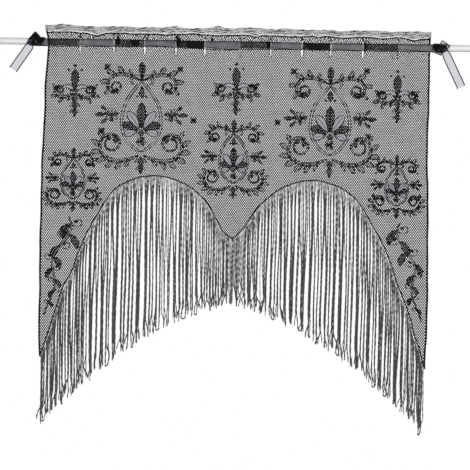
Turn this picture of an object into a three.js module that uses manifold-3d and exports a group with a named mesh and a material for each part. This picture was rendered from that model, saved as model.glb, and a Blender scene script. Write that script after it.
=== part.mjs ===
// Lace door curtain: a net panel with a two-arched lower edge and a long yarn fringe, hung on a round rod
// that runs through upright slits in the panel together with a ribbon, which is tied at both ends.
// Millimetres. X runs to the right, Y to the back and Z up. The origin is on the rod's axis, mid-panel.

import * as THREE from "three";
import { mergeVertices } from "three/addons/utils/BufferGeometryUtils.js";
import Module from "manifold-3d";

const wasm = await Module();
wasm.setup();

// Driving dimensions
const ROD = { radius: 8.75, length: 1260, sides: 32 };
const GAP = 0.3; // between pieces that touch on the real curtain
const PANEL = { left: -495, right: 493, netThickness: 1.5, hemThickness: 3, columnStep: 18 };
const HEADING = { top: 41, hemBottom: 24.5, hemStep: 0.6, foot: -85 };
const SLIT = { top: 21, tightAt: 14, widestAt: -9, bottom: -31 };
const BULGE = { front: 12, back: 10.5, reachUp: 32, reachDown: 60, flat: 10 };
const ROWS = { inSlit: [SLIT.tightAt, 7, SLIT.widestAt, -20], belowSlit: [-43, -60], body: 8 };
const FOLD = { growth: 400, wide: 4.2, narrow: 2.2 };
const FRINGE = { strandsPerArch: 120, headHeight: 3, headThickness: 2.4, headGap: 0.6, endGap: 1 };
const STRAND = { halfWidth: 1, halfDepth: 1.15, bends: [0.14, 0.55, 1], loosening: 90, lean: 2.4 };
const FRINGE_LAYERS = { count: 3, spread: 2.9 };
const RIBBON = { width: 22, thickness: 1.1, bow: 2.4, columns: 20, rows: 3 };

// The rod's eleven slits: where each one stands, and how wide it gapes below the rod
const SLITS = [
  { x: -406, gape: 2 },
  { x: -319, gape: 4 },
  { x: -240, gape: 3 },
  { x: -160, gape: 4 },
  { x: -86, gape: 5 },
  { x: 4, gape: 2 },
  { x: 83, gape: 4 },
  { x: 163, gape: 4 },
  { x: 237, gape: 5 },
  { x: 319, gape: 3 },
  { x: 409, gape: 3 },
];

// The lower edge: four quarter arches, each from its foot up to the top of its arch. slope is the edge's
// angle at the foot, and the handles say how far the curve holds its direction at either end.
const ARCHES = [
  { footX: -495, footZ: -807, topX: -208, topZ: -339, slope: 72.5, footHandle: 395, topHandle: 120 },
  { footX: -8, footZ: -497, topX: -208, topZ: -339, slope: 37, footHandle: 65, topHandle: 130 },
  { footX: -8, footZ: -497, topX: 196, topZ: -344, slope: 37, footHandle: 65, topHandle: 120 },
  { footX: 493, footZ: -824, topX: 196, topZ: -344, slope: 72.5, footHandle: 335, topHandle: 140 },
];

// The fringe is cut to a shallow V: its drop from the middle grows with the distance from there
const FRINGE_CUT = { middleX: -13, middleZ: -658, slope: 0.25, bendLeft: 86e-5, bendRight: 79e-5, ragged: 9 };

// The ribbon's knots: the middle of the knot, the two corners of the short end that stands up out of it,
// and the middle of the free tail's cut end
const KNOTS = [
  { x: -517, sink: -3, highX: -520, highZ: 24, outX: -534, outZ: 8, tailX: -576, tailZ: -74 },
  { x: 515, sink: -5, highX: 521, highZ: 18, outX: 541, outZ: 6, tailX: 572, tailZ: -100 },
];
const WRAPS = { half: 15, outer: 12, skew: 3 };
const LUMP = { x: 14, y: 6.5, z: 9.5, tilt: 0.25 };
const EAR = { half: 13, thickness: 1.8, shoulder: 6 };
const TAIL = { columns: 8, rows: 2, start: 10, neck: 0.85, swing: 6 };

const mix = THREE.MathUtils.lerp;
const clamp = THREE.MathUtils.clamp;
const { sin, cos, exp, abs, max, min, floor, PI } = Math;

// A number from 0 to 1 that looks random and is the same each time
function scatter(index, salt) {
  const wave = sin(index * 12.9898 + salt * 78.233) * 43758.5453;
  return wave - floor(wave);
}

function finish(color, roughness, metalness = 0) {
  return new THREE.MeshStandardMaterial({ color, roughness, metalness });
}

function namedMesh(name, geometry, material) {
  geometry.computeVertexNormals();
  const mesh = new THREE.Mesh(geometry, material);
  mesh.name = name;
  return mesh;
}

function geometryOf(points, faces) {
  const geometry = new THREE.BufferGeometry().setFromPoints(points);
  geometry.setIndex(faces.flat());
  return geometry;
}

// Thickens a surface of triangles into a closed sheet. The triangles turn anticlockwise seen from the front.
function thicken(points, faces, thicknessAt) {
  const normals = points.map(() => new THREE.Vector3());
  for (const [a, b, c] of faces) {
    const side1 = points[b].clone().sub(points[a]);
    const side2 = points[c].clone().sub(points[a]);
    const normal = side1.cross(side2);
    for (const corner of [a, b, c]) normals[corner].add(normal);
  }
  const half = points.map((point, i) => normals[i].normalize().multiplyScalar(thicknessAt(i) / 2));
  const front = points.map((point, i) => point.clone().add(half[i]));
  const back = points.map((point, i) => point.clone().sub(half[i]));
  const size = points.length;
  const edges = new Set(faces.flatMap(([a, b, c]) => [`${a}>${b}`, `${b}>${c}`, `${c}>${a}`]));
  const walls = [];
  for (const [a, b, c] of faces) {
    for (const [from, to] of [[a, b], [b, c], [c, a]]) {
      if (edges.has(`${to}>${from}`)) continue;
      walls.push([to, from, from + size], [to, from + size, to + size]);
    }
  }
  const behind = faces.map(([a, b, c]) => [c + size, b + size, a + size]);
  return geometryOf([...front, ...back], [...faces, ...behind, ...walls]);
}

// Lower edge of the panel
function archCurve(arch) {
  const side = Math.sign(arch.topX - arch.footX);
  const slope = THREE.MathUtils.degToRad(arch.slope);
  const foot = new THREE.Vector2(arch.footX, arch.footZ);
  const top = new THREE.Vector2(arch.topX, arch.topZ);
  const direction = new THREE.Vector2(side * cos(slope), sin(slope));
  const footControl = foot.clone().addScaledVector(direction, arch.footHandle);
  const topControl = top.clone().sub(new THREE.Vector2(side * arch.topHandle, 0));
  return new THREE.CubicBezierCurve(foot, footControl, topControl, top);
}

const archCurves = ARCHES.map(archCurve);

function lowerEdge(x) {
  const index = ARCHES.findIndex((arch) => (x - arch.footX) * (x - arch.topX) <= 0);
  const curve = archCurves[index];
  const rising = ARCHES[index].topX > ARCHES[index].footX;
  let low = 0;
  let high = 1;
  for (let step = 0; step < 40; step++) {
    const middle = (low + high) / 2;
    if (curve.getPoint(middle).x < x === rising) low = middle;
    else high = middle;
  }
  return curve.getPoint(low).y;
}

// Heading: the hem's two wavy edges
function topEdge(x) {
  return HEADING.top + 1.9 * sin(x / 31) + 1.1 * sin(x / 13 + 1) - x / 400;
}

function hemEdge(x) {
  return HEADING.hemBottom + 0.9 * sin(x / 17 + 2) + 0.5 * sin(x / 7);
}

// The panel is cut by its slits into intervals that pass in turn before and behind the rod
const seams = [PANEL.left, ...SLITS.map((slit) => slit.x), PANEL.right];

function intervalAt(x) {
  const index = seams.findIndex((seam, i) => i > 0 && x <= seam);
  return index < 0 ? seams.length - 2 : index - 1;
}

// How far the cloth stands out at a slit's edge: nothing at its ends, and past the rod between them
function bulgeAtSlit(z) {
  const middle = (SLIT.top + SLIT.bottom) / 2;
  const reach = (SLIT.top - SLIT.bottom) / 2;
  const off = (z - middle) / reach;
  return max(0, 1 - off * off) ** 0.4;
}

// How far it stands out midway between two slits, where it fades slowly above and below the rod
function bulgeMidway(z) {
  const off = max(0, abs(z) - BULGE.flat) / (z > 0 ? BULGE.reachUp : BULGE.reachDown);
  return exp(-off * off);
}

function bulge(x, z, interval) {
  const left = seams[interval];
  const right = seams[interval + 1];
  const across = (2 * (x - left)) / (right - left) - 1;
  const free = (interval === 0 && across < 0) || (interval === seams.length - 2 && across > 0);
  const share = free ? 1 : cos((PI / 2) * clamp(across, -1, 1)) ** 1.2;
  const depth = interval % 2 === 0 ? -BULGE.front : BULGE.back;
  return depth * mix(bulgeAtSlit(z), bulgeMidway(z), share);
}

// Slow upright folds that grow towards the lower edge
function folds(x, z) {
  const grow = clamp((HEADING.foot / 2 - z) / FOLD.growth, 0, 1);
  return grow * (FOLD.wide * sin(x / 53 + 0.6) + FOLD.narrow * sin(x / 21 + 2));
}

function panelPoint(x, z, interval) {
  return new THREE.Vector3(x, bulge(x, z, interval) + folds(x, z), z);
}

// The panel's columns: its edges, its slits, the middle point of its lower edge, and steps between them
function panelColumns() {
  const fixed = [...seams, ARCHES[1].footX].sort((a, b) => a - b);
  const columns = [fixed[0]];
  for (let i = 1; i < fixed.length; i++) {
    const steps = Math.ceil((fixed[i] - fixed[i - 1]) / PANEL.columnStep);
    for (let k = 1; k <= steps; k++) columns.push(mix(fixed[i - 1], fixed[i], k / steps));
  }
  return columns;
}

// The panel's rows, each with its height at x. open marks the rows that a slit cuts.
function panelRows() {
  const level = (z, open = false) => ({ height: () => z, open, hem: false });
  const body = Array.from({ length: ROWS.body }, (_, k) => ({
    height: (x) => mix(HEADING.foot, lowerEdge(x), (k + 1) / ROWS.body),
    open: false,
    hem: false,
  }));
  return [
    { height: topEdge, open: false, hem: true },
    { height: (x) => (topEdge(x) + hemEdge(x)) / 2, open: false, hem: true },
    { height: (x) => hemEdge(x) + HEADING.hemStep, open: false, hem: true },
    { height: (x) => hemEdge(x) - HEADING.hemStep, open: false, hem: false },
    level(SLIT.top),
    ...ROWS.inSlit.map((z) => level(z, true)),
    level(SLIT.bottom),
    ...ROWS.belowSlit.map((z) => level(z)),
    level(HEADING.foot),
    ...body,
  ];
}

// A slit gapes most just below the rod and closes to a point at its lower end
function gape(slit, z) {
  const closing = (z - SLIT.widestAt) / (SLIT.tightAt - SLIT.widestAt);
  if (z > SLIT.widestAt) return mix(slit.gape, slit.gape / 2, closing);
  return (slit.gape * (z - SLIT.bottom)) / (SLIT.widestAt - SLIT.bottom);
}

function buildPanel() {
  const columns = panelColumns();
  const rows = panelRows();
  const points = [];
  const rowOf = [];
  const known = new Map();

  // The corner of the cloth at a column and a row, on the left or right bank of a slit where one is open
  function corner(column, row, interval) {
    const x = columns[column];
    const slit = SLITS.find((one) => one.x === x);
    const split = slit && rows[row].open;
    const key = split ? `${column}:${row}:${interval}` : `${column}:${row}`;
    if (known.has(key)) return known.get(key);
    const z = rows[row].height(x);
    const point = panelPoint(x, z, interval);
    if (split) point.x += (seams[interval] === x ? 0.5 : -0.5) * gape(slit, z);
    points.push(point);
    rowOf.push(row);
    known.set(key, points.length - 1);
    return points.length - 1;
  }

  const faces = [];
  for (let column = 0; column + 1 < columns.length; column++) {
    const interval = intervalAt((columns[column] + columns[column + 1]) / 2);
    for (let row = 0; row + 1 < rows.length; row++) {
      const topLeft = corner(column, row, interval);
      const topRight = corner(column + 1, row, interval);
      const lowLeft = corner(column, row + 1, interval);
      const lowRight = corner(column + 1, row + 1, interval);
      const slantsDown = lowerEdge(columns[column]) > lowerEdge(columns[column + 1]);
      if (slantsDown) faces.push([topLeft, lowLeft, lowRight], [topLeft, lowRight, topRight]);
      else faces.push([topLeft, lowLeft, topRight], [topRight, lowLeft, lowRight]);
    }
  }
  const thickness = (i) => (rows[rowOf[i]].hem ? PANEL.hemThickness : PANEL.netThickness);
  const edge = columns.map((x) => panelPoint(x, lowerEdge(x), intervalAt(x)));
  return { geometry: thicken(points, faces, thickness), edge };
}

// A walk along the panel's lower edge, by the length along it
function edgeWalk(edge) {
  const outward = edge.map((point, i) => {
    const before = edge[max(0, i - 1)];
    const after = edge[min(edge.length - 1, i + 1)];
    return new THREE.Vector3(after.z - before.z, 0, before.x - after.x).normalize();
  });
  const marks = [0];
  for (let i = 1; i < edge.length; i++) marks.push(marks[i - 1] + edge[i].distanceTo(edge[i - 1]));

  function at(distance) {
    let i = 1;
    while (i < edge.length - 1 && marks[i] < distance) i++;
    const share = (distance - marks[i - 1]) / (marks[i] - marks[i - 1]);
    return {
      point: edge[i - 1].clone().lerp(edge[i], share),
      out: outward[i - 1].clone().lerp(outward[i], share).normalize(),
    };
  }
  const middle = marks[edge.findIndex((point) => point.x === ARCHES[1].footX)];
  return { at, runs: [[0, middle], [middle, marks[marks.length - 1]]] };
}

function fringeCut(x) {
  const off = abs(x - FRINGE_CUT.middleX);
  const bend = x < FRINGE_CUT.middleX ? FRINGE_CUT.bendLeft : FRINGE_CUT.bendRight;
  return FRINGE_CUT.middleZ - FRINGE_CUT.slope * off - bend * off * off;
}

// Sideways sway that neighbouring strands share, so that they never cross
function sway(x, z) {
  return 3.2 * sin(z / 47 + x / 90) + 1.6 * sin(z / 23 + x / 40 + 1.3);
}

// The fringe: a narrow heading under the cloth's edge with four-sided strands that grow out of it
function buildFringe(edge) {
  const walk = edgeWalk(edge);
  const depth = FRINGE.headThickness / 2;
  const points = [];
  const faces = [];
  const quad = (a, b, c, d) => faces.push([a, b, c], [a, c, d]);

  // One section of the heading: its ridge, and its lower corners at the front and at the back
  function section(distance) {
    const { point, out } = walk.at(distance);
    const ridge = point.clone().addScaledVector(out, FRINGE.headGap);
    const low = point.clone().addScaledVector(out, FRINGE.headGap + FRINGE.headHeight);
    const first = points.length;
    points.push(ridge, low.clone().setY(low.y - depth), low.clone().setY(low.y + depth));
    return first;
  }

  // One strand: it leaves the heading's foot, drifts to its own layer and hangs to the fringe's cut
  function strand(index, left, right) {
    const root = points[left + 1].clone().add(points[right + 2]).multiplyScalar(0.5);
    const layer = ((index % FRINGE_LAYERS.count) - (FRINGE_LAYERS.count - 1) / 2) * FRINGE_LAYERS.spread;
    const end = fringeCut(root.x) + FRINGE_CUT.ragged * (2 * scatter(index, 1) - 1);
    const length = root.z - end;
    const room = clamp((points[right].x - points[left].x) / (2 * STRAND.halfWidth), 0, 1);
    const lean = STRAND.lean * room * (scatter(index, 2) - 0.5);
    let above = [left + 1, right + 1, right + 2, left + 2];
    for (const share of STRAND.bends) {
      const z = root.z - share * length;
      const loose = 1 - exp((z - root.z) / STRAND.loosening);
      const x = root.x + loose * (sway(root.x, z) + lean);
      const y = root.y + layer;
      const ring = points.length;
      points.push(
        new THREE.Vector3(x - STRAND.halfWidth, y - STRAND.halfDepth, z),
        new THREE.Vector3(x + STRAND.halfWidth, y - STRAND.halfDepth, z),
        new THREE.Vector3(x + STRAND.halfWidth, y + STRAND.halfDepth, z),
        new THREE.Vector3(x - STRAND.halfWidth, y + STRAND.halfDepth, z),
      );
      const below = [ring, ring + 1, ring + 2, ring + 3];
      for (let side = 0; side < 4; side++) {
        const next = (side + 1) % 4;
        quad(above[side], below[side], below[next], above[next]);
      }
      above = below;
    }
    quad(above[0], above[3], above[2], above[1]);
  }

  // The heading's front, back and foot between two sections
  function band(left, right, closed) {
    quad(left, left + 1, right + 1, right);
    quad(left, right, right + 2, left + 2);
    if (closed) quad(left + 1, left + 2, right + 2, right + 1);
  }

  // One run of strands for each arch, so that the heading has a corner of its own at the middle point
  let before = section(FRINGE.endGap);
  faces.push([before, before + 2, before + 1]);
  walk.runs.forEach(([from, to], run) => {
    const pitch = (to - from) / FRINGE.strandsPerArch;
    for (let k = 0; k < FRINGE.strandsPerArch; k++) {
      const middle = from + (k + 0.5) * pitch;
      const left = section(middle - STRAND.halfWidth);
      const right = section(middle + STRAND.halfWidth);
      band(before, left, true);
      band(left, right, false);
      strand(run * FRINGE.strandsPerArch + k, left, right);
      before = right;
    }
    const last = section(run === 0 ? to : to - FRINGE.endGap);
    band(before, last, true);
    before = last;
  });
  faces.push([before, before + 1, before + 2]);
  return geometryOf(points, faces);
}

// Solids for joining and cutting
function solidOf(geometry) {
  const bare = geometry.clone();
  for (const name of ["normal", "uv"]) bare.deleteAttribute(name);
  const merged = mergeVertices(bare, 1e-4);
  return new wasm.Manifold(
    new wasm.Mesh({
      numProp: 3,
      vertProperties: new Float32Array(merged.attributes.position.array),
      triVerts: new Uint32Array(merged.index.array),
    }),
  );
}

function geometryFrom(solid) {
  const { vertProperties, triVerts } = solid.getMesh();
  const geometry = new THREE.BufferGeometry();
  geometry.setAttribute("position", new THREE.BufferAttribute(vertProperties, 3));
  geometry.setIndex(new THREE.BufferAttribute(triVerts, 1));
  return geometry;
}

// A strip of ribbon on a grid: place(along, across) is its middle surface, with along from 0 to 1 and
// across from -1 at its lower edge to 1 at its upper edge
function strip(columns, rows, thickness, place) {
  const points = [];
  const faces = [];
  for (let column = 0; column <= columns; column++) {
    for (let row = 0; row <= rows; row++) points.push(place(column / columns, 1 - (2 * row) / rows));
  }
  const at = (column, row) => column * (rows + 1) + row;
  for (let column = 0; column < columns; column++) {
    for (let row = 0; row < rows; row++) {
      const topLeft = at(column, row);
      const lowLeft = at(column, row + 1);
      const topRight = at(column + 1, row);
      const lowRight = at(column + 1, row + 1);
      faces.push([topLeft, lowLeft, lowRight], [topLeft, lowRight, topRight]);
    }
  }
  return thicken(points, faces, () => thickness);
}

// The ribbon's middle surface where it touches the rod's front
const ribbonFace = -(ROD.radius + GAP + RIBBON.thickness / 2);

// The band between the knots lies flat on the front of the rod, its edges bowed a little to the back
function ribbonBand() {
  return strip(RIBBON.columns, RIBBON.rows, RIBBON.thickness, (along, across) => {
    const x = mix(KNOTS[0].x, KNOTS[1].x, along);
    const z = (across * RIBBON.width) / 2 + 0.4 * sin(x / 60);
    return new THREE.Vector3(x, ribbonFace + RIBBON.bow * across * across, z);
  });
}

// The turns round the rod: a short sleeve whose wraps run askew
function knotWraps(knot) {
  const inner = ROD.radius + GAP;
  const { outer, half } = WRAPS;
  const profile = [
    [inner, -half],
    [outer - 1, -half],
    [outer + 0.6, -half * 0.6],
    [outer - 0.7, -half * 0.1],
    [outer + 0.8, half * 0.4],
    [outer - 1, half],
    [inner, half],
    [inner, -half],
  ].map(([radius, along]) => new THREE.Vector2(radius, along));
  const sleeve = new THREE.LatheGeometry(profile, 16);
  const position = sleeve.attributes.position;
  for (let i = 0; i < position.count; i++) {
    const along = position.getY(i);
    const angle = Math.atan2(position.getZ(i), position.getX(i));
    const share = abs(along) < half ? 1 : 0.2; // the sleeve's ends stay nearly square to the rod
    position.setY(i, along + WRAPS.skew * share * sin(angle));
  }
  sleeve.rotateZ(-PI / 2);
  sleeve.translate(knot.x, 0, 0);
  return sleeve;
}

// The knot's lump on the front of the rod
function knotLump(knot) {
  const lump = new THREE.SphereGeometry(1, 12, 8);
  lump.scale(LUMP.x, LUMP.y, LUMP.z);
  lump.rotateY(Math.sign(knot.x) * LUMP.tilt);
  lump.translate(knot.x + Math.sign(knot.x) * 2, ribbonFace - 1.5, knot.sink);
  return lump;
}

// The ear: the ribbon's short end that stands up out of the knot
function knotEar(knot) {
  const side = Math.sign(knot.x);
  const outer = knot.x + side * EAR.half;
  const inner = knot.x - side * EAR.half;
  const outline = new THREE.Shape([
    new THREE.Vector2(outer, knot.sink),
    new THREE.Vector2(knot.outX, knot.outZ),
    new THREE.Vector2(knot.highX, knot.highZ),
    new THREE.Vector2(inner, EAR.shoulder),
    new THREE.Vector2(inner, knot.sink),
  ]);
  const ear = new THREE.ExtrudeGeometry(outline, { depth: EAR.thickness, bevelEnabled: false });
  ear.rotateX(PI / 2); // the outline's height now runs along Z, and its depth to the front
  ear.translate(0, ribbonFace + 0.4, 0);
  return ear;
}

// The free tail: it leaves the knot's front and falls outwards to its cut end
function knotTail(knot) {
  const start = new THREE.Vector2(knot.x + Math.sign(knot.x) * TAIL.start, knot.sink);
  const end = new THREE.Vector2(knot.tailX, knot.tailZ);
  const run = end.clone().sub(start);
  const side = new THREE.Vector2(run.y, -run.x).normalize().multiplyScalar(-RIBBON.width / 2);
  return strip(TAIL.columns, TAIL.rows, RIBBON.thickness, (along, across) => {
    const narrow = mix(TAIL.neck, 1, clamp(along * 4, 0, 1));
    const place = start.clone().addScaledVector(run, along).addScaledVector(side, across * narrow);
    const y = ribbonFace - 4 + TAIL.swing * along ** 1.5 + 1.2 * sin(along * 5) + 0.8 * across * across;
    return new THREE.Vector3(place.x, y, place.y);
  });
}

function buildRibbon() {
  const rodRoom = new THREE.CylinderGeometry(ROD.radius + GAP, ROD.radius + GAP, ROD.length, ROD.sides);
  rodRoom.rotateZ(PI / 2);
  let ribbon = solidOf(ribbonBand());
  for (const knot of KNOTS) {
    for (const piece of [knotWraps, knotLump, knotEar, knotTail]) {
      ribbon = ribbon.add(solidOf(piece(knot)));
    }
  }
  return geometryFrom(ribbon.subtract(solidOf(rodRoom)));
}

function buildRod() {
  const rod = new THREE.CylinderGeometry(ROD.radius, ROD.radius, ROD.length, ROD.sides);
  rod.rotateZ(PI / 2);
  return rod;
}

const curtain = new THREE.Group();
const panel = buildPanel();
curtain.add(namedMesh("panel", panel.geometry, finish(0x2c2c2f, 0.9)));
curtain.add(namedMesh("fringe", buildFringe(panel.edge), finish(0x3a3a3d, 0.95)));
curtain.add(namedMesh("ribbon", buildRibbon(), finish(0x1c1b22, 0.55)));
curtain.add(namedMesh("rod", buildRod(), finish(0xe6e6e2, 0.4)));

export default curtain;
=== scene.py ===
# Lace door curtain on its rod: a net panel with raised ornament, a folded hem and stitched edges, its yarn
# fringe, a sheer ribbon tied round the rod at both ends, and the floor, light and camera of the picture.
# Lengths are millimetres until a mesh is made. X runs right, Y back and Z up, from the rod's axis mid-panel.

import math
from types import SimpleNamespace as Sizes

import bpy
import numpy as np
from mathutils import Matrix, Vector


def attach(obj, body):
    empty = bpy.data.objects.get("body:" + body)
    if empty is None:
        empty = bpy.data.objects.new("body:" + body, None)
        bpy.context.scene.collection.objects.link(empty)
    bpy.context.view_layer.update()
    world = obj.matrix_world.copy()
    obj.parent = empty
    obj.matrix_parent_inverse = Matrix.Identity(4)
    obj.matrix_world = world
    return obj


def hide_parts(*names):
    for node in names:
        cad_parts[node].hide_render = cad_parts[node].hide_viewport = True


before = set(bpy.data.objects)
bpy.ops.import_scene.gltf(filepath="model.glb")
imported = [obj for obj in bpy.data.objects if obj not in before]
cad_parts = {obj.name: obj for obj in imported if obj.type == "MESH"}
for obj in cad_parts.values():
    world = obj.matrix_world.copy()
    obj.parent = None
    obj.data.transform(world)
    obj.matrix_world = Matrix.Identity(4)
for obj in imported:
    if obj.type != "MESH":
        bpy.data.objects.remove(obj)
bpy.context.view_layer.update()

# Sizes of the curtain's solids
MM = 0.001
ROD = Sizes(radius=8.75, length=1260, sides=96, chamfer=0.8)
GAP = 0.3
PANEL = Sizes(left=-495, right=493)
HEADING = Sizes(top=41, hem_bottom=24.5, foot=-85)
SLIT = Sizes(top=21, tight=14, widest=-9, bottom=-31, shut=0.05, foot_power=0.35, bank=12, end=0.1)
CUT = Sizes(middle_x=-13, middle_z=-658, slope=0.25, bend_left=86e-5, bend_right=79e-5, ragged=9)
RIBBON = Sizes(width=20, thickness=1.1, skew=0.42, over_rod=8.6, first_layer=0.3, layer_step=0.5, rows=9)
RIBBON_FACE = -(ROD.radius + GAP + RIBBON.thickness / 2)

# How the cloth hangs: round the rod, in low folds, drawn in at its sides and standing out again below
BULGE = Sizes(front=12, back=10.5, up=32, down=60, flat=10, slit_power=0.4, crown_power=1.2)
FOLD = Sizes(growth=400, wide=4.2, narrow=2.2)
TIP = Sizes(left=3, right=4, height=90)
PULL = Sizes(at_rod=9.5, reach_above=34, reach_below=70, across=90)
FLARE = Sizes(left=5.2, left_from=150, left_over=250, right=2, right_from=400, right_over=150)
WAIST = Sizes(depth=4, z=-230, reach=130)

# The panel's eleven slits: where each one stands, and how wide it gapes below the rod
SLIT_GAPES = {
    -406: 1.2, -319: 6, -240: 4, -160: 5.5, -86: 5, 4: 2.5, 83: 4.5, 163: 5, 237: 5, 319: 4.5, 409: 1,
}

# The lower edge's four quarter arches, from left to right, and where the middle two meet in a point
ARCHES = [
    Sizes(foot=(-495, -807), top=(-208, -339), slope=72.5, foot_handle=395, top_handle=120),
    Sizes(foot=(-8, -497), top=(-208, -339), slope=37, foot_handle=65, top_handle=130),
    Sizes(foot=(-8, -497), top=(196, -344), slope=37, foot_handle=65, top_handle=120),
    Sizes(foot=(493, -824), top=(196, -344), slope=72.5, foot_handle=335, top_handle=140),
]
POINT_X = ARCHES[1].foot[0]

# The ribbon's knots: each one's middle, its two short ends' corners, and the middle of its tail's cut end
KNOTS = [
    Sizes(
        side="left", x=-517, sink=-3, tail=(-576, -74),
        ears=(
            [(-504, 7), (-520, 24), (-536, 6), (-514, -4)],
            [(-530, 2), (-536, 6), (-541, -7), (-524, -11)],
        ),
    ),
    Sizes(
        side="right", x=515, sink=-4, tail=(572, -100),
        ears=(
            [(515, 6), (521, 18), (541, 5), (534, -3)],
            [(496, -4), (520, -9), (519, -20), (499, -12)],
        ),
    ),
]

# Humps, each with its x, its size and its reach to both sides: where the hem's top edge rises, where its
# stitched line dips, and where the ribbon's lower and upper edges hang lower
TOP_RISES = [
    (-450, 3.2, 34), (-260, -1.8, 20), (-165, 3.4, 14), (-115, -2.8, 20), (-55, 6, 16),
    (28, 3, 30), (128, 2.2, 22), (178, -1.6, 14), (258, -2, 24), (392, -2.8, 20),
]
HEM_DIPS = [
    (-365, 5.5, 18), (-263, 1.5, 20), (45, 4.5, 11), (204, 4, 9),
    (276, 1.5, 12), (368, 3.6, 22), (450, 5, 15),
]
RIBBON_DIPS = [(-201, -2.2, 55), (-35, 3, 60), (45, 1.2, 50)]
RIBBON_SINKS = [(122, 1.5, 40), (200, 3.6, 48)]

# Humps by which the lower edge swells out of its arches
EDGE_SWELLS = [
    (-473, 2.4, 16), (-438, -2.8, 9), (-419, 3.4, 8), (-355, 1.6, 14), (-312, -2.8, 20), (-149, 2, 32),
    (-77, -2, 14), (-30, 3.8, 14), (16, 1.2, 12), (57, -2.8, 18), (146, 1.5, 38), (240, 2.2, 20),
    (308, -1.3, 8), (352, 3.4, 18), (421, 2.8, 12), (465, 3, 7),
]

# Pinched pleats beside the slits, from above the rod down over it: x, width, top and foot
PLEATS = [
    (-308, 8, 26, -8), (-234, 4, 22, 9), (-154, 10, 26, -9),
    (-68, 5, 24, 6), (77, 9, 20, -10), (325, 5, 18, -12),
]

# Creases along the hem: how far down it, as a share of its height, and what sets each one's ripples
HEM_CREASES = [(0.04, 1.0), (0.2, 2.2), (0.36, 3.7), (0.52, 5.9), (0.68, 8.8), (0.84, 4.6)]

# Stretches of the ribbon behind the net that are folded double and look black
RIBBON_FOLDS = [
    Sizes(left=-277, right=-254, top=0.9, foot=-0.98, foot_inset=5),
    Sizes(left=-134, right=-87, top=0.98, foot=-0.98, foot_inset=3),
    Sizes(left=166, right=236, top=0.98, foot=-0.72, foot_inset=15),
]

# The ribbon's stretches from knot to knot that are one layer, counted from 0 at the left knot
SINGLE_STRETCHES = (1, 3, 7, 11)

# The ornament's places on the cloth: the large groups with their scales, the small groups and the florets
MEDALLIONS = [(-246, -190, 0.98), (238, -192, 0.98), (-8, -292, 0.7), (-418, -352, 0.56), (412, -356, 0.56)]
SPRAYS = [(-418, -128), (-4, -118), (410, -130)]
FLORETS = [
    (-335, -62), (-148, -66), (144, -66), (330, -62), (-348, -226), (336, -230), (-112, -196), (104, -198),
]

# Finer sizes of the cloth, its stitches and its ornament
NET = Sizes(
    column_step=5, body_rows=72, slit_rows=15, foot_rows=9, weld=0.02,
    cell_width=5.6, cell_height=7.8, squareness=3.0, strain=1.6, crumple=8,
)
HEM = Sizes(past_side=2, foot_rise=2, net_drop=0.9, stitch_drop=2, column_step=2.5, rows=13)
STITCH = Sizes(pitch=4.9, overlap=0.8, wander=0.9, low=0.3, lift=0.9, end=1.2, bulk=(1.5, 2.6), depth=0.7)
TIE = Sizes(pitch=3.4, wander=0.3, lean=1.2, half_width=0.3)
BORDER = Sizes(inset=1.2, above_hem=4, points=200)
BANK = Sizes(inset=0.6, above_rod=1.0, below_rod=0.85, points=24, sides=5)
WHIP = Sizes(
    pitch=3.2, side_reach=2.7, arch_reach=1.1, depth=1.0, thread=0.42, steps=8, sides=4,
    core_width=0.85, core_depth=0.6, core_sides=6,
)
CORD = Sizes(half_width=1.4, half_depth=0.8, sides=6, step=3.2, rim=0.8, vein=0.5)
FILL = Sizes(half_depth=0.5, sides=8)
LEAFLET = Sizes(lean=34, curl=35, start=0.1, shortest=0.62, width=0.21)
VINE = Sizes(swing=0.13, winding=24, first_leaf=6, leaf_step=9, longest=46, share=0.4, shortest=7)

# The fringe: its yarn, how its strands stand, draw together and swing, its uncut loops and its heading
YARN = Sizes(
    half_width=1.75, half_depth=1.1, sides=6, step=4, per_arch=149,
    twist=(21, 42), swell=(0.72, 1.18), cut_end=0.45,
)
CROWD = Sizes(steep_share=0.335, at_point=0.16, reach=55)
CLUMP = Sizes(
    upper=(1, 1, 1, 1, 2, 2, 2, 3, 4), lower=(1, 2, 2, 2, 3, 3, 4, 5, 6),
    few=3, tight=0.36, loose=0.45, drift=1.5, full_drift=3, usual=3.4, most=7, calm=14,
)
GATHER = Sizes(upper_reach=70, lower_start=80, lower_reach=170, most=11)
HANG = Sizes(
    start=2, start_reach=6, layer=2.9, layer_reach=14, loose_reach=90, crimp=(0.04, 0.2),
    end_reach=55, end_swing=4.5, end_fling=9, end_depth=4,
)
LOOP = Sizes(first=3, every=9, widest=14, hang=1.2)
HEADBAND = Sizes(half_width=0.8, half_depth=0.9, sides=8, offset=1.5, step=4, end=2)

# The ribbon's finer sizes: its edge threads, and the wraps and the cross turn of its knots
THREAD = Sizes(depth=0.5, sides=6, stretch=0.75, band=1.05, ear=1.3, tail=1.4)
KNOT_TURNS = [(-13, 2.5), (-5, -2), (4, 3), (12, -1.5)]
WRAP = Sizes(half_width=6.2, lift=0.6, crown=2.1, gather=0.45)
LUMP = Sizes(half_length=17, half_width=9.6, half_depth=5.2, tilt=0.3, offset=2, proud=1.5)

# The room and the picture, with the lamps' places in metres and their watts
FLOOR = Sizes(height=-1900, size=2400)
VIEW = Sizes(distance=4000, centre_x=-0.9, centre_z=-488, frame_width=1205.6, roll=0.95, sensor=36)
WORLD_LIGHT = Sizes(level=0.52, upright=0.03)
LAMP = Sizes(size=2.0, aim=(0, 0, -0.4))
LAMPS = {"key": ((1.3, -3.6, 0.4), 80), "fill": ((-1.6, -3.2, -0.2), 40), "back": ((0.8, 3.2, 0.8), 50)}


# Numbers, directions and points
def mix(low, high, share):
    return low + (high - low) * share


def smooth(share):
    share = np.clip(share, 0, 1)
    return share * share * (3 - 2 * share)


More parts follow.
